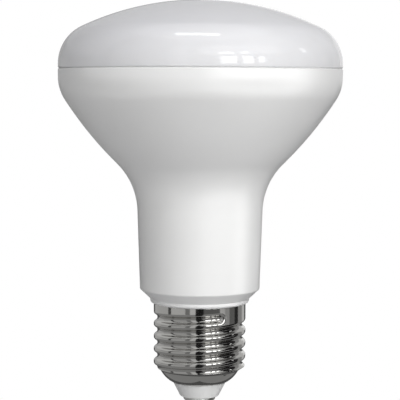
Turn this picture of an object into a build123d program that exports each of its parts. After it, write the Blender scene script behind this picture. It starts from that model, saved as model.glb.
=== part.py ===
from build123d import *

import os
from math import acos, atan2, cos, degrees, radians, sin, sqrt, tan

# Reflector bulb of the R80 size on an E27 screw cap, in millimetres.
# The bulb stands on its axis, +Z towards the light, with z = 0 at the tip of the centre contact.
# All pieces are turned forms. The one that isn't is the thread rolled into the screw shell.

# Centre contact: a low button with a stem in the insulator
contact_diameter = 9.2
contact_proud = 1.3
contact_edge_round = 0.9
stem_diameter = 3.2
stem_length = 3.0

# Insulator: the cone between the contact and the screw shell
insulator_tip_diameter = 10.9
insulator_height = 4.1
insulator_edge_round = 0.6
insulator_collar = 1.5

# Screw shell: a pressed cup with a shoulder and a bowl at its foot, and the E27 thread rolled into its wall
shell_length = 22.85
shell_opening_diameter = 15.2
sheet_thickness = 0.3
bowl_diameter = 24.1
bowl_radius = 7.9
bowl_start_angle = 26.5
cup_shoulder_rise = 1.2

# E27 thread, right-handed, seven turns to the inch
thread_diameter = 26.2
thread_pitch = 25.4 / 7
thread_depth = 1.06
crest_land_relief = 0.03
thread_top_below_rim = 3.1
thread_top_angle = -64.5

# Housing, from the shell's rim upwards: lip, chamfer, neck, throat, flank, rim
lip_diameter = 28.2
lip_height = 1.3
lip_draft = 5.0
lip_edge_round = 0.8
chamfer_drop = 2.75
neck_diameter = 35.5
neck_length = 22.3
neck_draft = 1.9
neck_edge_round = 0.5
throat_radius = 19.5
flank_start_angle = 32.8
flank_turn = 12.6
corner_radius = 11.8
rim_diameter = 80.0
housing_band = 2.4
plug_length = 13.0

# Diffuser: the opal front, with a spigot that drops into the housing's rim
diffuser_band = 1.25
shoulder_radius = 11.6
crown_radius = 77.9
rim_wall = 1.8
spigot_depth = 4.0
seam_bevel = 0.3

# Clearances of the fits inside
stem_clearance = 0.05
insulator_clearance = 0.05
plug_clearance = 0.1
spigot_clearance = 0.1
spigot_end_clearance = 0.2

# Radii
contact_r = contact_diameter / 2
stem_r = stem_diameter / 2
opening_r = shell_opening_diameter / 2
thread_r = thread_diameter / 2
root_r = thread_r - thread_depth
bore_r = root_r - sheet_thickness
plug_r = bore_r - plug_clearance
lip_r = lip_diameter / 2
neck_r = neck_diameter / 2
rim_r = rim_diameter / 2
socket_r = rim_r - rim_wall
spigot_r = socket_r - spigot_clearance

# Heights that stack up from the contact's tip
insulator_foot = contact_proud
shell_foot = insulator_foot + insulator_height
shell_rim = shell_foot + shell_length
lip_top = shell_rim + lip_height
neck_foot = lip_top + chamfer_drop
throat_foot = neck_foot + neck_length


def polar(centre, radius, angle):
    """The point at an angle in degrees on a circle in the profile plane, as (radius, height)."""
    return (centre[0] + radius * cos(radians(angle)), centre[1] + radius * sin(radians(angle)))


def turned(outline):
    """The solid that a closed outline, drawn as (radius, height), makes as it turns about the axis."""
    return revolve(Plane.XZ * make_face(outline), Axis.Z)


def rounded(solid, radius, height, edge_round):
    """Round the circular edge of a turned solid at a given radius and height."""
    near = solid.edges().filter_by(GeomType.CIRCLE).sort_by_distance((radius, 0, height))
    return fillet(near[0], edge_round)


def make_contact():
    """A button with a flat tip face, and a stem that holds it in the insulator."""
    button = Pos(0, 0, contact_proud / 2) * Cylinder(contact_r, contact_proud)
    button = rounded(button, contact_r, 0, contact_edge_round)
    stem = Pos(0, 0, contact_proud + stem_length / 2) * Cylinder(stem_r, stem_length)
    return button + stem


# Under its wall the shell draws in by a sloping shoulder, and then by a bowl, an arc that turns in to the
# opening. The sheet's inner side and the insulator that lies on it keep the arc's centre.
bowl_centre_r = bowl_diameter / 2 - bowl_radius
bowl_centre_z = shell_foot + sqrt(bowl_radius**2 - (opening_r - bowl_centre_r) ** 2)


def bowl_top(inset):
    """The point where the bowl, inset from its outer face, meets the shoulder."""
    return polar((bowl_centre_r, bowl_centre_z), bowl_radius - inset, -bowl_start_angle)


def bowl_arc(inset, outer_r, inner_r):
    """An arc of the bowl, inset from its outer face, from one radius in to a smaller one."""
    radius = bowl_radius - inset
    first = -degrees(acos((outer_r - bowl_centre_r) / radius))
    last = -degrees(acos((inner_r - bowl_centre_r) / radius))
    return CenterArc((bowl_centre_r, bowl_centre_z), radius, first, last - first)


wall_foot = bowl_top(0)[1] + cup_shoulder_rise


def make_insulator():
    """A cone below the shell, and above the opening a collar that lies in the bowl, bored for the stem.

    The collar is as wide as the bowl, but it goes in through the shell's bore.
    """
    tip_r = insulator_tip_diameter / 2
    neck_in_opening = opening_r - insulator_clearance
    hole_r = stem_r + stem_clearance
    seat_inset = sheet_thickness + insulator_clearance
    collar_r = min(bowl_top(seat_inset)[0], bore_r - insulator_clearance)
    seat = bowl_arc(seat_inset, collar_r, neck_in_opening)
    collar_top = (seat @ 0).Y + insulator_collar
    outline = Curve() + [
        Polyline((hole_r, insulator_foot), (tip_r, insulator_foot), (neck_in_opening, shell_foot), seat @ 1),
        seat,
        Polyline(seat @ 0, (collar_r, collar_top), (hole_r, collar_top), (hole_r, insulator_foot)),
    ]
    return rounded(turned(outline), tip_r, insulator_foot, insulator_edge_round)


def make_shell_blank():
    """The pressed cup before its thread is rolled: plain wall, shoulder, bowl and opening."""
    bowl = bowl_arc(0, bowl_top(0)[0], opening_r)
    inside = bowl_arc(sheet_thickness, bowl_top(sheet_thickness)[0], opening_r)
    bore_foot = wall_foot - sheet_thickness
    outline = Curve() + [
        Polyline((thread_r, shell_rim), (thread_r, wall_foot), bowl @ 0),
        bowl,
        Line(bowl @ 1, inside @ 1),
        inside,
        Polyline(inside @ 0, (bore_r, bore_foot), (bore_r, shell_rim), (thread_r, shell_rim)),
    ]
    return turned(outline)


def groove_outline(height):
    """The thread's groove in the plane of the axis: a round root between the flanks of two round crests.

    Root and crests have one radius and meet in a common tangent. The crests' tops would stand a little
    proud of the wall, which leaves them a narrow land.
    """
    depth = thread_depth + crest_land_relief
    half_pitch = thread_pitch / 2
    arc_radius = (half_pitch**2 + depth**2) / (4 * depth)
    tangent_angle = degrees(atan2(half_pitch, 2 * arc_radius - depth))
    crest_centre_r = root_r + depth - arc_radius
    mouth_r = thread_r + crest_land_relief / 2
    mouth_angle = degrees(acos((mouth_r - crest_centre_r) / arc_radius))
    sweep_angle = tangent_angle - mouth_angle
    lower = CenterArc((crest_centre_r, height - half_pitch), arc_radius, mouth_angle, sweep_angle)
    root = CenterArc((root_r + arc_radius, height), arc_radius, 180 + tangent_angle, -2 * tangent_angle)
    upper = CenterArc((crest_centre_r, height + half_pitch), arc_radius, -tangent_angle, sweep_angle)
    clear_r = thread_r + thread_depth
    start, end = lower @ 0, upper @ 1
    mouth = Polyline(end, (clear_r, end.Y), (clear_r, start.Y), start)
    return make_face(Curve() + [lower, root, upper, mouth])


def make_groove():
    """The groove that the rolls press in: it fades out at the shoulder, and has a round end below the rim.

    Half a pitch below the foot of the wall the whole groove is clear of the metal. The helix starts there.
    """
    top = shell_rim - thread_top_below_rim
    rise = top - wall_foot + thread_pitch / 2
    turns = rise / thread_pitch
    helix = Pos(0, 0, top - rise) * Helix(thread_pitch, rise, root_r)
    run = sweep(Plane.XZ * groove_outline(top - rise), path=helix, is_frenet=True)
    upper_half = Pos(thread_r, top + thread_pitch / 2) * Rectangle(thread_r, thread_pitch)
    end_face = Plane.XZ * (groove_outline(top) & upper_half)
    round_end = revolve(end_face, Axis((0, 0, top), (-1, 0, 0)), 180)
    return [Rot(0, 0, thread_top_angle - 360 * turns) * run, Rot(0, 0, thread_top_angle) * round_end]


def make_shell():
    """The cup with its rolled thread."""
    shell = make_shell_blank()
    for cut in make_groove():
        shell -= cut
    return shell


# The housing's wall leaves the rim straight down, turns in round the corner, steepens along the flank and
# turns back through the throat into the neck. The flank's radius follows from the other sizes.
flank_end_angle = flank_start_angle + flank_turn
corner_in = corner_radius * (1 - cos(radians(flank_start_angle)))
throat_in = throat_radius * (cos(radians(neck_draft)) - cos(radians(flank_end_angle)))
flank_in = rim_r - neck_r - corner_in - throat_in
flank_radius = flank_in / (cos(radians(flank_start_angle)) - cos(radians(flank_end_angle)))
throat_centre = (
    neck_r + throat_radius * cos(radians(neck_draft)),
    throat_foot - throat_radius * sin(radians(neck_draft)),
)
flank_foot = polar(throat_centre, throat_radius, 180 - flank_end_angle)
flank_centre = polar(flank_foot, flank_radius, 180 - flank_end_angle)
flank_top = polar(flank_centre, flank_radius, -flank_start_angle)
corner_centre = polar(flank_top, corner_radius, 180 - flank_start_angle)
seam = corner_centre[1] + housing_band


def make_housing():
    """The white moulding, from the socket for the diffuser down to the plug inside the screw shell."""
    corner = CenterArc(corner_centre, corner_radius, 0, -flank_start_angle)
    flank = CenterArc(flank_centre, flank_radius, -flank_start_angle, -flank_turn)
    throat = CenterArc(throat_centre, throat_radius, 180 - flank_end_angle, flank_end_angle - neck_draft)
    neck_foot_r = neck_r - neck_length * tan(radians(neck_draft))
    lip_foot_r = lip_r - lip_height * tan(radians(lip_draft))
    socket_floor = seam - spigot_depth - spigot_end_clearance
    plug_foot = shell_rim - plug_length
    outline = Curve() + [
        Polyline((0, socket_floor), (socket_r, socket_floor), (socket_r, seam), (rim_r - seam_bevel, seam)),
        Polyline((rim_r - seam_bevel, seam), (rim_r, seam - seam_bevel), corner @ 0),
        corner,
        flank,
        throat,
        Polyline(throat @ 1, (neck_foot_r, neck_foot), (lip_r, lip_top), (lip_foot_r, shell_rim)),
        Polyline((lip_foot_r, shell_rim), (plug_r, shell_rim), (plug_r, plug_foot)),
        Polyline((plug_r, plug_foot), (0, plug_foot), (0, socket_floor)),
    ]
    housing = turned(outline)
    housing = rounded(housing, neck_foot_r, neck_foot, neck_edge_round)
    return rounded(housing, lip_foot_r, shell_rim, lip_edge_round)


def make_diffuser():
    """The opal front: a flat crown, a round shoulder, a short straight band and the spigot."""
    shoulder_centre = (rim_r - shoulder_radius, seam + diffuser_band)
    crown_rise = sqrt((crown_radius - shoulder_radius) ** 2 - shoulder_centre[0] ** 2)
    crown_centre = (0, shoulder_centre[1] - crown_rise)
    join_angle = degrees(atan2(crown_rise, shoulder_centre[0]))
    crown = CenterArc(crown_centre, crown_radius, 90, join_angle - 90)
    shoulder = CenterArc(shoulder_centre, shoulder_radius, join_angle, -join_angle)
    spigot_foot = seam - spigot_depth
    outline = Curve() + [
        crown,
        shoulder,
        Polyline(shoulder @ 1, (rim_r, seam + seam_bevel), (rim_r - seam_bevel, seam), (spigot_r, seam)),
        Polyline((spigot_r, seam), (spigot_r, spigot_foot), (0, spigot_foot), crown @ 0),
    ]
    return turned(outline)


pieces = {
    "centre_contact": make_contact(),
    "insulator": make_insulator(),
    "screw_shell": make_shell(),
    "housing": make_housing(),
    "diffuser": make_diffuser(),
}

os.makedirs("parts", exist_ok=True)
for name, piece in pieces.items():
    piece.label = name
    export_step(piece, f"parts/{name}.step")
    box = piece.bounding_box()
    span = f"z {box.min.Z:.2f} to {box.max.Z:.2f}, {box.size.X:.2f} mm across"
    print(f"{name}: {piece.volume:.1f} mm3, {span}")
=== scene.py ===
# %% [markdown]
# # A reflector bulb in a small studio
#
# The object is a reflector bulb of the R80 size: an opal front and a white body, both moulded, on a
# nickel screw cap of the E27 size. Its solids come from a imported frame, at their real size and place.
# This script gives each of them a mesh that is fine enough for gloss, a finish of its own, and the
# light of a photographer's table: a window, a tube overhead, soft boxes and strips, and cards for the
# metal to reflect.

# %% Load the frame
from math import acos, atan2, ceil, copysign, cos, degrees, hypot, pi, radians, sin, sqrt, tan

import bmesh
import bpy
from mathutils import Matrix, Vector


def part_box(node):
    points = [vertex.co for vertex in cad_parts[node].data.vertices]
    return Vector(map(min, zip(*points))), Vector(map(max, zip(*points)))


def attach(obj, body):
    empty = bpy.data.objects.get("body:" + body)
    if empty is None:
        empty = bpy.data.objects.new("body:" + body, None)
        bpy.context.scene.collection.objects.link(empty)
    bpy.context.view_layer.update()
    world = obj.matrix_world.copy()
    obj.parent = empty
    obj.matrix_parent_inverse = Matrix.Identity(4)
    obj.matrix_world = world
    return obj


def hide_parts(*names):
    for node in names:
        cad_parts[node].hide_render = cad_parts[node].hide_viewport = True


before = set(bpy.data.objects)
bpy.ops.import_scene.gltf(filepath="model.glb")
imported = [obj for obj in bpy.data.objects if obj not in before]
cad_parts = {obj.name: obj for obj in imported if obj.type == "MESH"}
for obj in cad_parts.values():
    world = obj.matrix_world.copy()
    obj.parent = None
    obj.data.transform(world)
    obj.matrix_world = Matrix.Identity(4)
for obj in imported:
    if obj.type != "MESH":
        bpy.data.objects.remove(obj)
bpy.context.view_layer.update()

# %% [markdown]
# ## Millimetres and the frame's heights
#
# Blender works in metres, and a bulb is drawn in millimetres. All outlines below are in millimetres,
# and one scale at the end of each mesh brings them to metres. The heights where the pieces meet, and
# their largest radii, are read from the frame, so that the meshes stay where the solids are.

# %% Heights and radii from the frame
MM = 0.001
node_boxes = {node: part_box(node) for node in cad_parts}


def heights(node):
    """The lowest and highest point of a solid, in millimetres above the tip of the contact."""
    low, high = node_boxes[node]
    return low.z / MM, high.z / MM


def widest(node):
    """The largest radius of a solid, in millimetres."""
    return node_boxes[node][1].x / MM


contact_tip, stem_top = heights("centre_contact")
insulator_foot, collar_top = heights("insulator")
shell_foot, shell_rim = heights("screw_shell")
plug_foot, seam = heights("housing")
spigot_foot, apex = heights("diffuser")
rim_r = widest("housing")
thread_r = widest("screw_shell")
print(f"Seam at {seam:.2f} mm and apex at {apex:.2f} mm above the contact's tip")
print(f"Rim radius {rim_r:.2f} mm, thread radius {thread_r:.2f} mm")

# %% [markdown]
# ## A pen for turned pieces
#
# All five pieces are round. On the real bulb they are moulded, pressed or turned, and each is known by
# half of its section. A cylinder with many cuts would give the same form, but its smooth shading would
# break at each cut. So a pen draws the half section as a chain of edges: an extruded vertex makes a
# straight stretch, a spun vertex makes a round one that starts in the pen's own direction, and a
# bevelled vertex softens a corner. One full spin about the axis then makes the solid, with even rows of
# faces for the light to run along.

# %% The pen
SEGMENTS = 192
ROW = 1.0
ARC_ROW = 0.6
ARC_STEP = 6.0
SOFT_CORNER_STEPS = 6
WELD = 1e-4


def only_vertex(geometry):
    """The one vertex in the geometry that an operator gives back."""
    return next(item for item in geometry if isinstance(item, bmesh.types.BMVert))


class Pen:
    """Draws half a section, in millimetres from the axis and up, and spins it into a solid."""

    def __init__(self, radius, height):
        self.bm = bmesh.new()
        self.tip = self.bm.verts.new((radius, 0, height))
        self.heading = 0.0

    def line(self, radius, height):
        """A straight stretch to a point. Gives the vertex at its end."""
        start = self.tip.co
        self.heading = degrees(atan2(height - start.z, radius - start.x))
        self.tip = bmesh.ops.extrude_vert_indiv(self.bm, verts=[self.tip])["verts"][0]
        self.tip.co = (radius, 0, height)
        return self.tip

    def arc(self, radius, turn, row=ARC_ROW):
        """A round stretch from the pen's heading on. A positive turn, in degrees, goes to the left."""
        to_centre = radians(self.heading + copysign(90, turn))
        centre = self.tip.co + radius * Vector((cos(to_centre), 0, sin(to_centre)))
        length = radius * radians(abs(turn))
        steps = ceil(max(length / row, abs(turn) / ARC_STEP))
        spun = bmesh.ops.spin(
            self.bm, geom=[self.tip], cent=centre, axis=(0, -1, 0), angle=radians(turn), steps=steps
        )
        self.tip = only_vertex(spun["geom_last"])
        self.heading += turn
        return self.tip

    def soften(self, corner, width):
        """Round a corner of the outline, from a width before it to a width behind it."""
        bmesh.ops.bevel(
            self.bm, geom=[corner], offset=width, offset_type="OFFSET", affect="VERTICES",
            segments=SOFT_CORNER_STEPS, profile=0.5, material=-1,
        )

    def cut_rows(self, row=ROW, beyond=0):
        """Cut the stretches beyond a radius into equal rows of faces, none longer than a row."""
        for edge in self.bm.edges[:]:
            cuts = ceil(edge.calc_length() / row) - 1
            middle = (edge.verts[0].co.x + edge.verts[1].co.x) / 2
            if cuts > 0 and middle > beyond:
                bmesh.ops.subdivide_edges(self.bm, edges=[edge], cuts=cuts)

    def spin(self):
        """Turn the outline about the axis into a closed solid with its faces outwards."""
        outline = self.bm.verts[:] + self.bm.edges[:]
        bmesh.ops.spin(
            self.bm, geom=outline, cent=(0, 0, 0), axis=(0, 0, 1), angle=2 * pi, steps=SEGMENTS,
            use_merge=True,
        )
        bmesh.ops.remove_doubles(self.bm, verts=self.bm.verts[:], dist=WELD)
        bmesh.ops.recalc_face_normals(self.bm, faces=self.bm.faces[:])
        return self.bm


print("The pen turns an outline about the axis in", SEGMENTS, "steps")

# %% [markdown]
# ## From a mesh to a piece
#
# A bmesh is only a workbench: the finished mesh has to go into an object of the scene. The object stays
# at the origin, unturned and unscaled, and the piece's place is in its points, so that patterns that
# are laid out in object coordinates sit where they would on the real bulb. Each piece rides on the one
# body of the frame and stands for the solid whose form it has. A count of the edges that don't lie
# between two faces shows that the mesh is closed.

# %% Make pieces
def as_object(bm, name):
    """Put a bmesh into the scene as an object at the origin."""
    mesh = bpy.data.meshes.new(name)
    bm.to_mesh(mesh)
    bm.free()
    made = bpy.data.objects.new(name, mesh)
    bpy.context.scene.collection.objects.link(made)
    return made


def make_piece(bm, name, node):
    """Scale a mesh to metres, make it a smooth object, and let it stand for a solid of the frame."""
    bmesh.ops.scale(bm, vec=(MM, MM, MM), verts=bm.verts[:])
    open_edges = sum(1 for edge in bm.edges if len(edge.link_faces) != 2)
    piece = as_object(bm, name)
    piece.data.shade_smooth()
    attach(piece, "root")
    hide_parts(node)
    print(f"{name}: {len(piece.data.polygons)} faces, {open_edges} open edges")
    return piece


print(len(node_boxes), "solids get a mesh each")

# %% [markdown]
# ## The opal front
#
# The front is one moulding of opal polycarbonate: a flat crown, a round shoulder and a short straight
# band that ends at the seam. The crown's arc and the shoulder's arc share a tangent, so the pen draws
# them one after the other from the apex. The angle where they meet follows from the two radii and the
# height, as in the solid. A small bevel at the seam makes the dark line between the two mouldings.

# %% Draw the front
SHOULDER_RADIUS = 11.6
CROWN_RADIUS = 77.9
SEAM_BEVEL = 0.3
SEAM_SOFT = 0.08
RIM_WALL = 1.8
SPIGOT_CLEARANCE = 0.1


def draw_front():
    """The opal front with the spigot that drops into the white body."""
    spigot_r = rim_r - RIM_WALL - SPIGOT_CLEARANCE
    crown_fall = degrees(acos(
        sqrt((CROWN_RADIUS - SHOULDER_RADIUS) ** 2 - (rim_r - SHOULDER_RADIUS) ** 2)
        / (CROWN_RADIUS - SHOULDER_RADIUS)
    ))
    pen = Pen(0, apex)
    pen.arc(CROWN_RADIUS, -crown_fall)
    pen.arc(SHOULDER_RADIUS, crown_fall - 90)
    edge = pen.line(rim_r, seam + SEAM_BEVEL)
    pen.line(rim_r - SEAM_BEVEL, seam)
    pen.line(spigot_r, seam)
    pen.line(spigot_r, spigot_foot)
    pen.line(0, spigot_foot)
    pen.soften(edge, SEAM_SOFT)
    pen.cut_rows()
    return pen.spin()


front = make_piece(draw_front(), "opal_front", "diffuser")

# %% [markdown]
# ## The white body
#
# The body is one moulding too. Below the seam its wall drops straight, turns in round a corner,
# steepens along a long flank and swings back through the throat into the neck, which tapers by its
# draft. Under the neck lie a chamfer and the small lip that hides the rim of the screw cap. Only the
# flank's radius isn't a size of its own: it is the one that brings the flank from the corner to the
# throat.

# %% Draw the body
HOUSING_BAND = 2.4
CORNER_RADIUS = 11.8
FLANK_START = 32.8
FLANK_TURN = 12.6
THROAT_RADIUS = 19.5
NECK_DRAFT = 1.9
NECK_RADIUS = 17.75
NECK_LENGTH = 22.3
CHAMFER_DROP = 2.75
LIP_RADIUS = 14.1
LIP_HEIGHT = 1.3
LIP_DRAFT = 5.0
NECK_SOFT = 0.2
LIP_SOFT = 0.73
CREASE_SOFT = 0.1
SOCKET_END_CLEARANCE = 0.2
SHEET = 0.3
THREAD_DEPTH = 1.06
PLUG_CLEARANCE = 0.1

root_r = thread_r - THREAD_DEPTH
bore_r = root_r - SHEET


def flank_radius():
    """The radius that joins the corner's arc to the throat's arc between the rim and the neck."""
    flank_end = FLANK_START + FLANK_TURN
    corner_in = CORNER_RADIUS * (1 - cos(radians(FLANK_START)))
    throat_in = THROAT_RADIUS * (cos(radians(NECK_DRAFT)) - cos(radians(flank_end)))
    flank_in = rim_r - NECK_RADIUS - corner_in - throat_in
    return flank_in / (cos(radians(FLANK_START)) - cos(radians(flank_end)))


def draw_body():
    """The white body, from the socket for the front down to the plug in the screw cap."""
    socket_r = rim_r - RIM_WALL
    socket_floor = spigot_foot - SOCKET_END_CLEARANCE
    plug_r = bore_r - PLUG_CLEARANCE
    lip_top = shell_rim + LIP_HEIGHT
    neck_foot = lip_top + CHAMFER_DROP
    neck_foot_r = NECK_RADIUS - NECK_LENGTH * tan(radians(NECK_DRAFT))
    lip_foot_r = LIP_RADIUS - LIP_HEIGHT * tan(radians(LIP_DRAFT))
    pen = Pen(0, socket_floor)
    pen.line(socket_r, socket_floor)
    pen.line(socket_r, seam)
    pen.line(rim_r - SEAM_BEVEL, seam)
    edge = pen.line(rim_r, seam - SEAM_BEVEL)
    pen.line(rim_r, seam - HOUSING_BAND)
    pen.arc(CORNER_RADIUS, -FLANK_START)
    pen.arc(flank_radius(), -FLANK_TURN)
    pen.arc(THROAT_RADIUS, FLANK_START + FLANK_TURN - NECK_DRAFT)
    neck_corner = pen.line(neck_foot_r, neck_foot)
    crease = pen.line(LIP_RADIUS, lip_top)
    lip_corner = pen.line(lip_foot_r, shell_rim)
    pen.line(plug_r, shell_rim)
    pen.line(plug_r, plug_foot)
    pen.line(0, plug_foot)
    pen.soften(edge, SEAM_SOFT)
    pen.soften(neck_corner, NECK_SOFT)
    pen.soften(crease, CREASE_SOFT)
    pen.soften(lip_corner, LIP_SOFT)
    pen.cut_rows()
    return pen.spin()


body = make_piece(draw_body(), "white_body", "housing")

# %% [markdown]
# ## The cup of the screw shell
#
# The shell starts as a cup pressed from sheet, and rolls then press the thread into its wall. The mesh
# is made the same way, in two steps. First the pen draws the plain cup: a straight wall, a shoulder,
# and a round bowl with the opening for the insulator. Its outside has very fine rows, because the
# thread is pressed into them.

# %% Draw the cup
BOWL_WIDEST_RADIUS = 12.05
BOWL_RADIUS = 7.9
BOWL_START = 26.5
CUP_SHOULDER_RISE = 1.2
CUP_SHOULDER_SOFT = 0.35
OPENING_RADIUS = 7.6
THREAD_ROW = 0.12

bowl_centre_r = BOWL_WIDEST_RADIUS - BOWL_RADIUS
bowl_centre_z = shell_foot + sqrt(BOWL_RADIUS**2 - (OPENING_RADIUS - bowl_centre_r) ** 2)


def on_bowl(radius, angle):
    """The point of an arc about the bowl's centre, at an angle below the level of that centre."""
    return bowl_centre_r + radius * cos(radians(angle)), bowl_centre_z - radius * sin(radians(angle))


def angle_at_opening(radius, opening_r):
    """The angle at which an arc about the bowl's centre has come in to the opening."""
    return degrees(acos((opening_r - bowl_centre_r) / radius))


def draw_cup():
    """The pressed cup before its thread: rim, wall, shoulder, bowl, opening, and the same inside."""
    inner = BOWL_RADIUS - SHEET
    bowl_end = angle_at_opening(BOWL_RADIUS, OPENING_RADIUS)
    inner_end = angle_at_opening(inner, OPENING_RADIUS)
    bowl_top_r, bowl_top_z = on_bowl(BOWL_RADIUS, BOWL_START)
    wall_foot = bowl_top_z + CUP_SHOULDER_RISE
    pen = Pen(bore_r, shell_rim)
    pen.line(thread_r, shell_rim)
    shoulder = pen.line(thread_r, wall_foot)
    pen.line(bowl_top_r, bowl_top_z)
    pen.heading = -90 - BOWL_START
    pen.arc(BOWL_RADIUS, BOWL_START - bowl_end, THREAD_ROW)
    pen.line(*on_bowl(inner, inner_end))
    pen.heading = 90 - inner_end
    pen.arc(inner, inner_end - BOWL_START)
    pen.line(bore_r, wall_foot - SHEET)
    pen.line(bore_r, shell_rim)
    pen.soften(shoulder, CUP_SHOULDER_SOFT)
    pen.cut_rows(THREAD_ROW, beyond=bore_r)
    return pen.spin()


cup = draw_cup()
print(f"The cup has {len(cup.verts)} points, and its bowl is round about {bowl_centre_z:.2f} mm up")

# %% [markdown]
# ## The rolled thread
#
# Now each point of the wall moves in towards the axis as far as the groove asks for. A screw modifier
# would make the groove too, but not its round upper end, nor the way it fades out in the bowl at the
# foot. The groove's section is a round root between two round crests, all of one radius. How deep a
# point of the wall goes depends only on its distance from the middle of the nearest turn, or from the
# groove's end.

# %% Roll the thread
THREAD_PITCH = 25.4 / 7
THREAD_TOP_BELOW_RIM = 3.1
THREAD_TOP_ANGLE = -64.5
CREST_RELIEF = 0.03
EDGE_BLEND = 0.12


def groove_distance(angle, height):
    """How far a point of the wall is from the middle of the groove, in millimetres."""
    top = shell_rim - THREAD_TOP_BELOW_RIM
    turns_back = (THREAD_TOP_ANGLE - angle) / 360 % 1
    below_top = top - height - THREAD_PITCH * turns_back
    turn = max(0, round(below_top / THREAD_PITCH))
    from_turn = abs(below_top - THREAD_PITCH * turn)
    past_end = (1 - turns_back) * 2 * pi * root_r
    return min(from_turn, hypot(past_end, height - top))


def groove_radius(distance):
    """The radius that the rolls leave at a distance from the middle of the groove."""
    half_pitch = THREAD_PITCH / 2
    depth = THREAD_DEPTH + CREST_RELIEF
    arc_radius = (half_pitch**2 + depth**2) / (4 * depth)
    if distance < half_pitch / 2:
        return root_r + arc_radius - sqrt(arc_radius**2 - distance**2)
    from_crest = max(0, half_pitch - distance)
    return root_r + depth - arc_radius + sqrt(arc_radius**2 - from_crest**2)


def soft_min(one, other, blend):
    """The smaller of two radii, with a rounded change from one to the other."""
    overlap = max(blend - abs(one - other), 0) / blend
    return min(one, other) - overlap**2 * blend / 4


def roll_thread(bm):
    """Press the groove into the wall, each vertex along its own radius."""
    for vertex in bm.verts:
        radius = hypot(vertex.co.x, vertex.co.y)
        if radius > root_r - EDGE_BLEND:
            angle = degrees(atan2(vertex.co.y, vertex.co.x))
            rolled = soft_min(radius, groove_radius(groove_distance(angle, vertex.co.z)), EDGE_BLEND)
            vertex.co.xy *= rolled / radius
    return bm


shell = make_piece(roll_thread(cup), "nickel_shell", "screw_shell")

# %% [markdown]
# ## The insulator and the contact
#
# Below the shell sits a white moulded cone that keeps the contact away from the metal. Its upper part
# lies in the shell's bowl, out of sight. The contact is a pressed button with a flat tip and a stem.
# The photo's lower edge cuts it off, so it is finished as such caps have it.

# %% Draw the insulator and the contact
INSULATOR_TIP_RADIUS = 5.45
INSULATOR_CLEARANCE = 0.05
INSULATOR_SOFT = 0.37
STEM_RADIUS = 1.6
STEM_CLEARANCE = 0.05
CONTACT_SOFT = 0.9


def draw_insulator():
    """The cone, its neck in the shell's opening and its collar in the bowl, bored for the stem."""
    hole_r = STEM_RADIUS + STEM_CLEARANCE
    neck_r = OPENING_RADIUS - INSULATOR_CLEARANCE
    seat = BOWL_RADIUS - SHEET - INSULATOR_CLEARANCE
    seat_start = angle_at_opening(seat, neck_r)
    collar_r = on_bowl(seat, BOWL_START)[0]
    pen = Pen(hole_r, insulator_foot)
    tip_corner = pen.line(INSULATOR_TIP_RADIUS, insulator_foot)
    pen.line(neck_r, shell_foot)
    pen.line(*on_bowl(seat, seat_start))
    pen.heading = 90 - seat_start
    pen.arc(seat, seat_start - BOWL_START)
    pen.line(collar_r, collar_top)
    pen.line(hole_r, collar_top)
    pen.line(hole_r, insulator_foot)
    pen.soften(tip_corner, INSULATOR_SOFT)
    pen.cut_rows()
    return pen.spin()


def draw_contact():
    """The button with its flat tip face, and the stem that holds it in the insulator."""
    contact_r = widest("centre_contact")
    pen = Pen(0, contact_tip)
    pen.line(contact_r - CONTACT_SOFT, contact_tip)
    pen.arc(CONTACT_SOFT, 90)
    pen.line(contact_r, insulator_foot)
    pen.line(STEM_RADIUS, insulator_foot)
    pen.line(STEM_RADIUS, stem_top)
    pen.line(0, stem_top)
    pen.cut_rows()
    return pen.spin()


insulator = make_piece(draw_insulator(), "insulator_cone", "insulator")
contact = make_piece(draw_contact(), "contact_button", "centre_contact")

# %% [markdown]
# ## Colours and nodes
#
# Colours are written as sRGB hex values, as a colour picker shows them, and one function makes them
# linear for the shader. A second small function adds a node, sets its properties and fills its inputs
# with values or links. Patterns are sized in millimetres: a noise with a scale of 1000 has grains of
# about one millimetre.

# %% Helpers for materials
# The colour sockets of a Mix node go by number, because its other sockets have the same names.
MIX_A, MIX_B, MIX_RESULT = 6, 7, 2


def linear(hex_colour):
    """An sRGB hex colour as linear red, green, blue and alpha."""
    channels = [int(hex_colour[place:place + 2], 16) / 255 for place in (1, 3, 5)]
    return [c / 12.92 if c <= 0.04045 else ((c + 0.055) / 1.055) ** 2.4 for c in channels] + [1.0]


def add_node(tree, kind, inputs, **settings):
    """Add a node with its settings. Each input is a value, or the output of another node to link."""
    node = tree.nodes.new(kind)
    for name, value in settings.items():
        setattr(node, name, value)
    for name, value in inputs.items():
        if isinstance(value, bpy.types.NodeSocket):
            tree.links.new(value, node.inputs[name])
        else:
            node.inputs[name].default_value = value
    return node


def new_material(name):
    """An empty node material, its tree, and the place of a point on the piece."""
    material = bpy.data.materials.new(name)
    material.use_nodes = True
    tree = material.node_tree
    tree.nodes.clear()
    return material, tree, add_node(tree, "ShaderNodeTexCoord", {}).outputs["Object"]


def grains(size):
    """The scale of a noise whose grains have a size in millimetres."""
    return 1 / (size * MM)


def finish_with(piece, material):
    """Give a piece its one material."""
    piece.data.materials.append(material)
    print(f"{piece.name} is finished with {material.name}, {len(material.node_tree.nodes)} nodes")


print(f"The grey #808080 is {linear('#808080')[0]:.3f} in linear light")

# %% [markdown]
# ## Opal polycarbonate
#
# The front is polycarbonate with a fine white filler, moulded in a polished tool. It is milky rather
# than painted: light enters the skin, spreads a little and comes out again, so a small share of
# subsurface light goes with the base colour. The polish shows lamps as sharp shapes, and the shrinking
# of the plastic leaves long shallow waves that bend those shapes a little. Faint clouds of filler keep
# the colour from being flat.

# %% Finish the front
OPAL_CLOUD = 22.0
OPAL_WAVE = 11.0
OPAL_WAVE_DEPTH = 0.02
OPAL_SPREAD = 1.5


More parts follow.
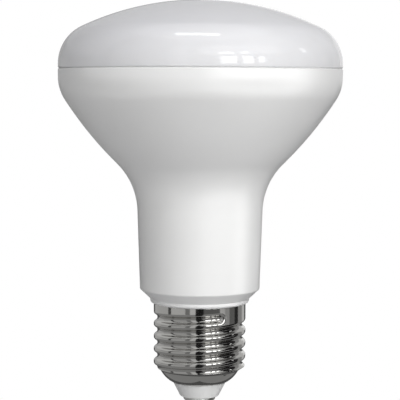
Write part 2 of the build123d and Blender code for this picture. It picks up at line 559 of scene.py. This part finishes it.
def opal_polycarbonate():
    """Cool milky white with a polished, slightly wavy skin."""
    material, tree, place = new_material("opal_polycarbonate")
    clouds = add_node(
        tree, "ShaderNodeTexNoise", {"Vector": place, "Scale": grains(OPAL_CLOUD), "Detail": 3.0}
    )
    milk = add_node(
        tree, "ShaderNodeMix",
        {"Factor": clouds.outputs["Fac"], MIX_A: linear("#E4E4E6"), MIX_B: linear("#EAEAEB")},
        data_type="RGBA",
    )
    waves = add_node(
        tree, "ShaderNodeTexNoise", {"Vector": place, "Scale": grains(OPAL_WAVE), "Detail": 0.0}
    )
    skin = add_node(
        tree, "ShaderNodeBump", {"Height": waves.outputs["Fac"], "Distance": OPAL_WAVE_DEPTH * MM}
    )
    shader = add_node(tree, "ShaderNodeBsdfPrincipled", {
        "Base Color": milk.outputs[MIX_RESULT], "Roughness": 0.07, "IOR": 1.58,
        "Subsurface Weight": 0.2, "Subsurface Radius": (1.0, 0.95, 0.9),
        "Subsurface Scale": OPAL_SPREAD * MM, "Normal": skin.outputs["Normal"],
    })
    add_node(tree, "ShaderNodeOutputMaterial", {"Surface": shader.outputs["BSDF"]})
    return material


finish_with(front, opal_polycarbonate())

# %% [markdown]
# ## White polyester moulding
#
# The body is PBT, a white polyester that stands the heat of the lamp. Its tool was spark-eroded, which
# leaves a fine even grain, so the surface is satin: lamps show as broad soft bands and never as shapes.
# The real grain is about a tenth of a millimetre, too fine for this picture, and is drawn four times as
# coarse. A slow change of roughness follows the flow of the melt.

# %% Finish the body
SATIN_GRAIN = 0.4
SATIN_GRAIN_DEPTH = 0.003
FLOW_SIZE = 18.0


def satin_polyester():
    """Neutral white with a fine satin grain."""
    material, tree, place = new_material("satin_polyester")
    flow = add_node(
        tree, "ShaderNodeTexNoise", {"Vector": place, "Scale": grains(FLOW_SIZE), "Detail": 2.0}
    )
    white = add_node(
        tree, "ShaderNodeMix",
        {"Factor": flow.outputs["Fac"], MIX_A: linear("#E4E4E3"), MIX_B: linear("#EAEAE9")},
        data_type="RGBA",
    )
    satin = add_node(
        tree, "ShaderNodeMapRange", {"Value": flow.outputs["Fac"], "To Min": 0.26, "To Max": 0.34}
    )
    grain = add_node(
        tree, "ShaderNodeTexNoise", {"Vector": place, "Scale": grains(SATIN_GRAIN), "Detail": 1.0}
    )
    skin = add_node(
        tree, "ShaderNodeBump", {"Height": grain.outputs["Fac"], "Distance": SATIN_GRAIN_DEPTH * MM}
    )
    shader = add_node(tree, "ShaderNodeBsdfPrincipled", {
        "Base Color": white.outputs[MIX_RESULT], "Roughness": satin.outputs["Result"], "IOR": 1.5,
        "Normal": skin.outputs["Normal"],
    })
    add_node(tree, "ShaderNodeOutputMaterial", {"Surface": shader.outputs["BSDF"]})
    return material


finish_with(body, satin_polyester())

# %% [markdown]
# ## Nickel plate on rolled sheet
#
# The cap is brass sheet with a bright coat of nickel, a slightly warm grey metal. Its form gives it
# most of its look, because each turn of the thread shows the whole room, squeezed to a line. The rolls
# leave faint marks around the cap. They are drawn as a noise that is stretched far along the turn and
# is narrow up the axis, and they change the roughness and, very slightly, the height.

# %% Finish the shell
ROLL_MARK = 0.35
ROLL_MARK_LENGTH = 9.0
ROLL_MARK_DEPTH = 0.0004


def rolled_nickel():
    """Bright nickel with faint marks of the rolls around it."""
    material, tree, place = new_material("rolled_nickel")
    along, up = grains(ROLL_MARK_LENGTH), grains(ROLL_MARK)
    stretched = add_node(tree, "ShaderNodeMapping", {"Vector": place, "Scale": (along, along, up)})
    marks = add_node(
        tree, "ShaderNodeTexNoise", {"Vector": stretched.outputs["Vector"], "Scale": 1.0, "Detail": 2.0}
    )
    polish = add_node(
        tree, "ShaderNodeMapRange", {"Value": marks.outputs["Fac"], "To Min": 0.05, "To Max": 0.13}
    )
    skin = add_node(
        tree, "ShaderNodeBump", {"Height": marks.outputs["Fac"], "Distance": ROLL_MARK_DEPTH * MM}
    )
    shader = add_node(tree, "ShaderNodeBsdfPrincipled", {
        "Base Color": linear("#C8C7C4"), "Metallic": 1.0, "Roughness": polish.outputs["Result"],
        "Normal": skin.outputs["Normal"],
    })
    add_node(tree, "ShaderNodeOutputMaterial", {"Surface": shader.outputs["BSDF"]})
    return material


finish_with(shell, rolled_nickel())

# %% [markdown]
# ## The insulator's moulding and the pressed contact
#
# The cone is a hard white moulding, as satin as the body but without its grain. The contact was pressed
# with a turned punch, which leaves fine rings around its axis, and its plate is duller than the cap's.

# %% Finish the insulator and the contact
CONE_CLOUD = 3.0
PRESS_RING = 0.5

# At a scale of 1, the rings of a wave texture lie this far apart.
RING_WAVE_PERIOD = 0.314


def hard_moulding():
    """White, smooth and slightly uneven in its polish."""
    material, tree, place = new_material("hard_moulding")
    clouds = add_node(
        tree, "ShaderNodeTexNoise", {"Vector": place, "Scale": grains(CONE_CLOUD), "Detail": 2.0}
    )
    white = add_node(
        tree, "ShaderNodeMix",
        {"Factor": clouds.outputs["Fac"], MIX_A: linear("#E3E3E1"), MIX_B: linear("#EAEAE9")},
        data_type="RGBA",
    )
    polish = add_node(
        tree, "ShaderNodeMapRange", {"Value": clouds.outputs["Fac"], "To Min": 0.28, "To Max": 0.36}
    )
    shader = add_node(tree, "ShaderNodeBsdfPrincipled", {
        "Base Color": white.outputs[MIX_RESULT], "Roughness": polish.outputs["Result"], "IOR": 1.5,
    })
    add_node(tree, "ShaderNodeOutputMaterial", {"Surface": shader.outputs["BSDF"]})
    return material


def pressed_nickel():
    """Nickel with fine rings around the axis."""
    material, tree, place = new_material("pressed_nickel")
    rings = add_node(tree, "ShaderNodeTexWave", {
        "Vector": place, "Scale": RING_WAVE_PERIOD * grains(PRESS_RING), "Distortion": 1.5, "Detail": 2.0,
    }, wave_type="RINGS", rings_direction="Z")
    polish = add_node(
        tree, "ShaderNodeMapRange", {"Value": rings.outputs["Fac"], "To Min": 0.34, "To Max": 0.44}
    )
    shader = add_node(tree, "ShaderNodeBsdfPrincipled", {
        "Base Color": linear("#C4C3C0"), "Metallic": 1.0, "Roughness": polish.outputs["Result"],
    })
    add_node(tree, "ShaderNodeOutputMaterial", {"Surface": shader.outputs["BSDF"]})
    return material


finish_with(insulator, hard_moulding())
finish_with(contact, pressed_nickel())

# %% [markdown]
# ## The camera
#
# The photo was taken from a little below the seam: the seam's line bends slightly upwards in the
# middle, and the rings at the neck's foot bend downwards. The distance, height and angle were fitted to
# the bulb's outline. The bulb's axis leans by a fifth of a degree in the photo, so the camera is rolled
# by as much.

# %% Place the camera
CAMERA_DISTANCE = 417.0
CAMERA_HEIGHT = 90.3
LOOK_HEIGHT = 57.43
FIELD_OF_VIEW = 15.45
CAMERA_ROLL = 0.19
NEAREST_SEEN = 10.0


def place_camera():
    """A camera in front of the bulb, at -Y, that looks slightly down."""
    data = bpy.data.cameras.new("camera")
    data.lens = data.sensor_width / 2 / tan(radians(FIELD_OF_VIEW / 2))
    data.clip_start = NEAREST_SEEN * MM
    camera = bpy.data.objects.new("camera", data)
    camera.location = Vector((0, -CAMERA_DISTANCE, CAMERA_HEIGHT)) * MM
    target = Vector((0, 0, LOOK_HEIGHT)) * MM
    camera.rotation_euler = (target - camera.location).to_track_quat("-Z", "Y").to_euler()
    camera.rotation_euler.rotate_axis("Z", radians(CAMERA_ROLL))
    bpy.context.scene.collection.objects.link(camera)
    bpy.context.scene.camera = camera
    print(f"Camera with a lens of {data.lens:.1f} mm at {CAMERA_DISTANCE} mm")


place_camera()

# %% [markdown]
# ## The white ground
#
# The picture has a clean white ground. A white world would give it, but would also flood the bulb with
# light from all sides and wash out its form. So the world is white only for rays that come straight
# from the camera, or by way of a reflection or through glass. For all other light it is a dim grey.

# %% Make the world
AMBIENT = 0.03


def make_world():
    """White for the eye and for reflections, dim grey for the light itself."""
    world = bpy.data.worlds.new("studio")
    world.use_nodes = True
    tree = world.node_tree
    tree.nodes.clear()
    path = add_node(tree, "ShaderNodeLightPath", {})
    seen = add_node(
        tree, "ShaderNodeMath", {0: path.outputs["Is Camera Ray"], 1: path.outputs["Is Glossy Ray"]},
        operation="MAXIMUM",
    )
    seen_through = add_node(
        tree, "ShaderNodeMath", {0: seen.outputs["Value"], 1: path.outputs["Is Transmission Ray"]},
        operation="MAXIMUM",
    )
    dim = add_node(tree, "ShaderNodeBackground", {"Color": linear("#FFFFFF"), "Strength": AMBIENT})
    white = add_node(tree, "ShaderNodeBackground", {"Color": linear("#FFFFFF"), "Strength": 1.0})
    either = add_node(tree, "ShaderNodeMixShader", {
        "Fac": seen_through.outputs["Value"],
        1: dim.outputs["Background"], 2: white.outputs["Background"],
    })
    add_node(tree, "ShaderNodeOutputWorld", {"Surface": either.outputs["Shader"]})
    bpy.context.scene.world = world
    print(f"World: white to the eye, {AMBIENT} to all other light")


make_world()
bpy.context.scene.view_settings.view_transform = "Standard"

# %% [markdown]
# ## The table
#
# The floor is a pale round table below the bulb, which catches its shadow and throws light back up. It
# dissolves towards its edge, and so meets the white ground without a line. Reflections don't show it:
# they show the cards of the next steps in its place.

# %% Make the table
TABLE_DROP = 150.0
TABLE_RADIUS = 500.0
TABLE_FADE = 250.0
TABLE_SIDES = 96


def make_table():
    """A round pale table top that dissolves towards its edge."""
    bm = bmesh.new()
    bmesh.ops.create_circle(bm, cap_ends=True, segments=TABLE_SIDES, radius=TABLE_RADIUS * MM)
    bmesh.ops.translate(bm, vec=(0, 0, -TABLE_DROP * MM), verts=bm.verts[:])
    table = as_object(bm, "table")
    material, tree, place = new_material("matt_table")
    flat = add_node(tree, "ShaderNodeMapping", {"Vector": place, "Scale": (1, 1, 0)})
    out = add_node(tree, "ShaderNodeVectorMath", {"Vector": flat.outputs["Vector"]}, operation="LENGTH")
    fade = add_node(tree, "ShaderNodeMapRange", {
        "Value": out.outputs["Value"], "From Min": TABLE_FADE * MM, "From Max": TABLE_RADIUS * MM,
    }, interpolation_type="SMOOTHSTEP")
    matt = add_node(tree, "ShaderNodeBsdfDiffuse", {"Color": linear("#DCDCDC")})
    clear = add_node(tree, "ShaderNodeBsdfTransparent", {})
    surface = add_node(tree, "ShaderNodeMixShader", {
        "Fac": fade.outputs["Result"], 1: matt.outputs["BSDF"], 2: clear.outputs["BSDF"],
    })
    add_node(tree, "ShaderNodeOutputMaterial", {"Surface": surface.outputs["Shader"]})
    table.data.materials.append(material)
    table.visible_glossy = False
    print(f"Table {2 * TABLE_RADIUS:.0f} mm across, {TABLE_DROP:.0f} mm below the contact")


make_table()

# %% [markdown]
# ## Cards for the metal
#
# Polished metal has no look of its own: it shows the room. A white room would make the cap pale and
# flat, and photographers stand grey and black cards around a metal piece to give it lines. Here each
# card is a patch of a large sphere, between two azimuths, which count from the camera to the right, and
# two elevations. A vertex is spun up into an arc, and the arc is spun round into the patch. The cards
# show in reflections alone, so they neither light the bulb nor stand in the way of another view.

# %% Make a card
ROOM_RADIUS = 4000.0
CARD_STEP = 5.0


def around(azimuth, elevation, distance):
    """The point in a direction from the bulb, in degrees to the right of the camera and up."""
    level = distance * cos(radians(elevation))
    return Vector((
        level * sin(radians(azimuth)), -level * cos(radians(azimuth)), distance * sin(radians(elevation))
    )) * MM


def stand_card(name, left, right, low, high, grey):
    """A patch of the room that glows in one grey, for reflections alone."""
    bm = bmesh.new()
    foot = bm.verts.new(around(left, low, ROOM_RADIUS))
    across = (-cos(radians(left)), -sin(radians(left)), 0)
    bmesh.ops.spin(
        bm, geom=[foot], cent=(0, 0, 0), axis=across, angle=radians(high - low),
        steps=ceil((high - low) / CARD_STEP),
    )
    bmesh.ops.spin(
        bm, geom=bm.verts[:] + bm.edges[:], cent=(0, 0, 0), axis=(0, 0, 1), angle=radians(right - left),
        steps=ceil((right - left) / CARD_STEP),
    )
    card = as_object(bm, name)
    material, tree, _ = new_material(name)
    glow = add_node(tree, "ShaderNodeEmission", {"Color": (grey, grey, grey, 1.0), "Strength": 1.0})
    add_node(tree, "ShaderNodeOutputMaterial", {"Surface": glow.outputs["Emission"]})
    material.cycles.emission_sampling = "NONE"
    card.data.materials.append(material)
    card.visible_camera = card.visible_diffuse = card.visible_shadow = card.visible_transmission = False


print(f"A card is part of a sphere of {ROOM_RADIUS:.0f} mm, with a face every {CARD_STEP:.0f} degrees")

# %% [markdown]
# ## The room around the metal
#
# The plain skirt of the cap is upright and is seen from above, so all of it shows a narrow strip of the
# room, about ten degrees below its own level. That strip has cards of its own, the skirting boards,
# which give the skirt its stripes. The thread turns every way, and shows walls, floor and window in
# each of its turns.

# %% Stand the cards
NADIR = -90.0
DEEP_LINE = -62.0
BLACK_FLOOR_LINE = -48.0
FLOOR_LINE = -12.5
SKIRTING_LINE = -6.5
BACK_LINE = -1.0
SILL_LINE = 0.0
HIGH_LINE = 14.0
BLACK_WALL_LINE = 42.0
CEILING_LINE = 60.0

# Name, left and right azimuth, lower and upper line, all in degrees, and the grey that shows.
CARDS = (
    ("back_left", -180, -150, NADIR, BACK_LINE, 0.1),
    ("mid_back_left", -180, -150, BACK_LINE, HIGH_LINE, 0.45),
    ("high_back_left", -180, -150, HIGH_LINE, CEILING_LINE, 0.62),
    ("skirting_far_left", -150, -85, FLOOR_LINE, SKIRTING_LINE, 0.5),
    ("wall_far_left", -150, -115, SKIRTING_LINE, HIGH_LINE, 0.5),
    ("wall_left", -115, -85, SKIRTING_LINE, HIGH_LINE, 0.4),
    ("high_wall_left", -150, -85, HIGH_LINE, CEILING_LINE, 0.62),
    ("post_left", -85, -76, FLOOR_LINE, CEILING_LINE, 0.08),
    ("skirting_left", -76, -36, FLOOR_LINE, SKIRTING_LINE, 0.55),
    ("wall_front_left", -76, -36, SKIRTING_LINE, CEILING_LINE, 0.42),
    ("shade_left", -36, -24, FLOOR_LINE, CEILING_LINE, 0.22),
    ("light_strip", -24, -10, FLOOR_LINE, CEILING_LINE, 0.62),
    ("black_curtain", -10, 10, DEEP_LINE, CEILING_LINE, 0.015),
    ("shade_under_window", 10, 52, FLOOR_LINE, SILL_LINE, 0.13),
    ("wall_over_window", 10, 52, SILL_LINE, CEILING_LINE, 0.3),
    ("skirting_front_right", 52, 66, FLOOR_LINE, SKIRTING_LINE, 0.55),
    ("skirting_right", 66, 80, FLOOR_LINE, SKIRTING_LINE, 0.36),
    ("skirting_shade", 80, 98, FLOOR_LINE, SKIRTING_LINE, 0.15),
    ("wall_front_right", 52, 58, SKIRTING_LINE, CEILING_LINE, 0.4),
    ("black_wall_right", 58, 98, SKIRTING_LINE, BLACK_WALL_LINE, 0.01),
    ("high_wall_right", 58, 98, BLACK_WALL_LINE, CEILING_LINE, 0.4),
    ("black_card_right", 98, 112, FLOOR_LINE, CEILING_LINE, 0.03),
    ("wall_right", 112, 132, FLOOR_LINE, CEILING_LINE, 0.32),
    ("wall_far_right", 132, 150, FLOOR_LINE, CEILING_LINE, 0.6),
    ("back_right", 150, 180, NADIR, BACK_LINE, 0.1),
    ("mid_back_right", 150, 180, BACK_LINE, HIGH_LINE, 0.9),
    ("high_back_right", 150, 180, HIGH_LINE, CEILING_LINE, 0.62),
    ("floor_left", -150, -10, NADIR, FLOOR_LINE, 0.28),
    ("floor_front", -10, 10, NADIR, DEEP_LINE, 0.28),
    ("floor_under_window", 10, 58, NADIR, FLOOR_LINE, 0.28),
    ("black_floor_right", 58, 112, BLACK_FLOOR_LINE, FLOOR_LINE, 0.01),
    ("floor_deep_right", 58, 112, NADIR, BLACK_FLOOR_LINE, 0.28),
    ("floor_right", 112, 150, NADIR, FLOOR_LINE, 0.28),
)

for card_row in CARDS:
    stand_card(*card_row)
print(len(CARDS), "cards stand around the bulb")

# %% [markdown]
# ## The lamps that show
#
# Three kinds of lamps light the bulb. The first kind shows in the polish: a window of several panes to
# the right of the camera, which draws the bright patches low on the front and the highlights of the
# thread, and a long tube overhead, which draws the white streak on the front. Each lamp is written as
# it looks from the bulb: its direction, and its width and height in degrees. Its brightness is its
# radiance, the value that a mirror would show.

# %% Hang the window and the tube
LAMP_DISTANCE = 3000.0
LAMP_AIM = 60.0
DAYLIGHT = "#FFFFFF"

# Name, azimuth, elevation, width and height in degrees, radiance and colour.
SEEN_LAMPS = (
    ("pane_wide", 22.2, 9.0, 12.8, 16.0, 4.4, DAYLIGHT),
    ("pane_middle", 37.4, 9.0, 9.0, 15.0, 4.4, DAYLIGHT),
    ("pane_narrow", 49.2, 9.5, 5.2, 13.0, 4.4, DAYLIGHT),
    ("pane_over_wide", 21.0, 25.0, 12.0, 6.0, 3.0, DAYLIGHT),
    ("pane_over_middle", 36.5, 25.0, 7.0, 6.0, 3.0, DAYLIGHT),
    ("window_glow", 35.0, 33.0, 60.0, 22.0, 0.72, DAYLIGHT),
    ("tube_overhead", -8.0, 78.0, 22.6, 8.0, 4.9, DAYLIGHT),
    ("small_lamp", 95.0, 24.0, 5.0, 8.0, 2.4, DAYLIGHT),
)


def hang_lamp(name, azimuth, elevation, width, height, radiance, colour):
    """A flat lamp that faces the bulb and fills a patch of sky, given in degrees."""
    data = bpy.data.lights.new(name, "AREA")
    data.shape = "RECTANGLE"
    data.size = 2 * LAMP_DISTANCE * tan(radians(width / 2)) * MM
    data.size_y = 2 * LAMP_DISTANCE * tan(radians(height / 2)) * MM
    data.energy = radiance * pi * data.size * data.size_y
    data.color = linear(colour)[:3]
    lamp = bpy.data.objects.new(name, data)
    target = Vector((0, 0, LAMP_AIM)) * MM
    lamp.location = target + around(azimuth, elevation, LAMP_DISTANCE)
    lamp.rotation_euler = (target - lamp.location).to_track_quat("-Z", "Y").to_euler()
    lamp.visible_camera = False
    bpy.context.scene.collection.objects.link(lamp)
    return lamp


for lamp_row in SEEN_LAMPS:
    hang_lamp(*lamp_row)
print(len(SEEN_LAMPS), "lamps show in the polish")

# %% [markdown]
# ## Soft boxes for the form
#
# The second kind are large soft boxes that give the form its shade: one high in front, smaller or
# weaker ones to the right and below, one behind for the edge, and a bluish one for the crown. They
# would be ugly patches on the polish, so they are kept out of reflections.

# %% Hang the soft boxes
SKY = "#B4B2FF"
SOFT_BOXES = (
    ("soft_front", 14.0, 32.0, 52.0, 27.0, 4.75, DAYLIGHT),
    ("soft_right", 70.0, 20.0, 50.0, 30.0, 0.4, DAYLIGHT),
    ("soft_low_front", 0.0, -25.0, 78.0, 27.0, 0.9, DAYLIGHT),
    ("soft_low_left", -115.0, -25.0, 27.0, 27.0, 3.7, DAYLIGHT),
    ("soft_low_right", 75.0, -25.0, 50.0, 27.0, 0.38, DAYLIGHT),
    ("soft_back", 180.0, 10.0, 30.0, 40.0, 4.2, DAYLIGHT),
    ("soft_sky", 0.0, 88.0, 40.0, 40.0, 0.25, SKY),
)

for lamp_row in SOFT_BOXES:
    hang_lamp(*lamp_row).visible_glossy = False
print(len(SOFT_BOXES), "soft boxes shade the form")

# %% [markdown]
# ## Strips for the sheen
#
# The third kind are strips that make sheen and give no other light, six on the satin body and one on
# the contact under the cone. A photographer would flag them off the bright cap, and light linking does
# the same here. Shadows are linked too, so that the table does not stand in the way of the low strips.

# %% Hang the strips
SHEEN_LAMPS = (
    ("strip_level", 45.0, 4.0, 100.0, 14.0, 4.2, DAYLIGHT),
    ("strip_low", 45.0, -12.0, 100.0, 18.0, 0.25, DAYLIGHT),
    ("strip_lowest", 45.0, -32.0, 100.0, 22.0, 2.4, DAYLIGHT),
    ("strip_side", 85.0, -8.0, 30.0, 30.0, 1.8, DAYLIGHT),
    ("strip_left", -60.0, 7.0, 100.0, 10.0, 2.8, DAYLIGHT),
    ("strip_left_low", -55.0, -36.0, 100.0, 18.0, 0.9, DAYLIGHT),
)
CONTACT_LAMP = ("strip_contact", 0.0, -40.0, 150.0, 70.0, 1.5, DAYLIGHT)


def flag_for(lamp, piece):
    """Let a lamp shine on one piece alone, as flags would, and make only sheen there."""
    lit = bpy.data.collections.new(f"{lamp.name}_lights")
    lit.objects.link(piece)
    lamp.light_linking.receiver_collection = lit
    lamp.light_linking.blocker_collection = lit
    lamp.visible_diffuse = False


for lamp_row in SHEEN_LAMPS:
    flag_for(hang_lamp(*lamp_row), body)
flag_for(hang_lamp(*CONTACT_LAMP), contact)
print(len(SHEEN_LAMPS), "strips make the body's sheen, and one the contact's")
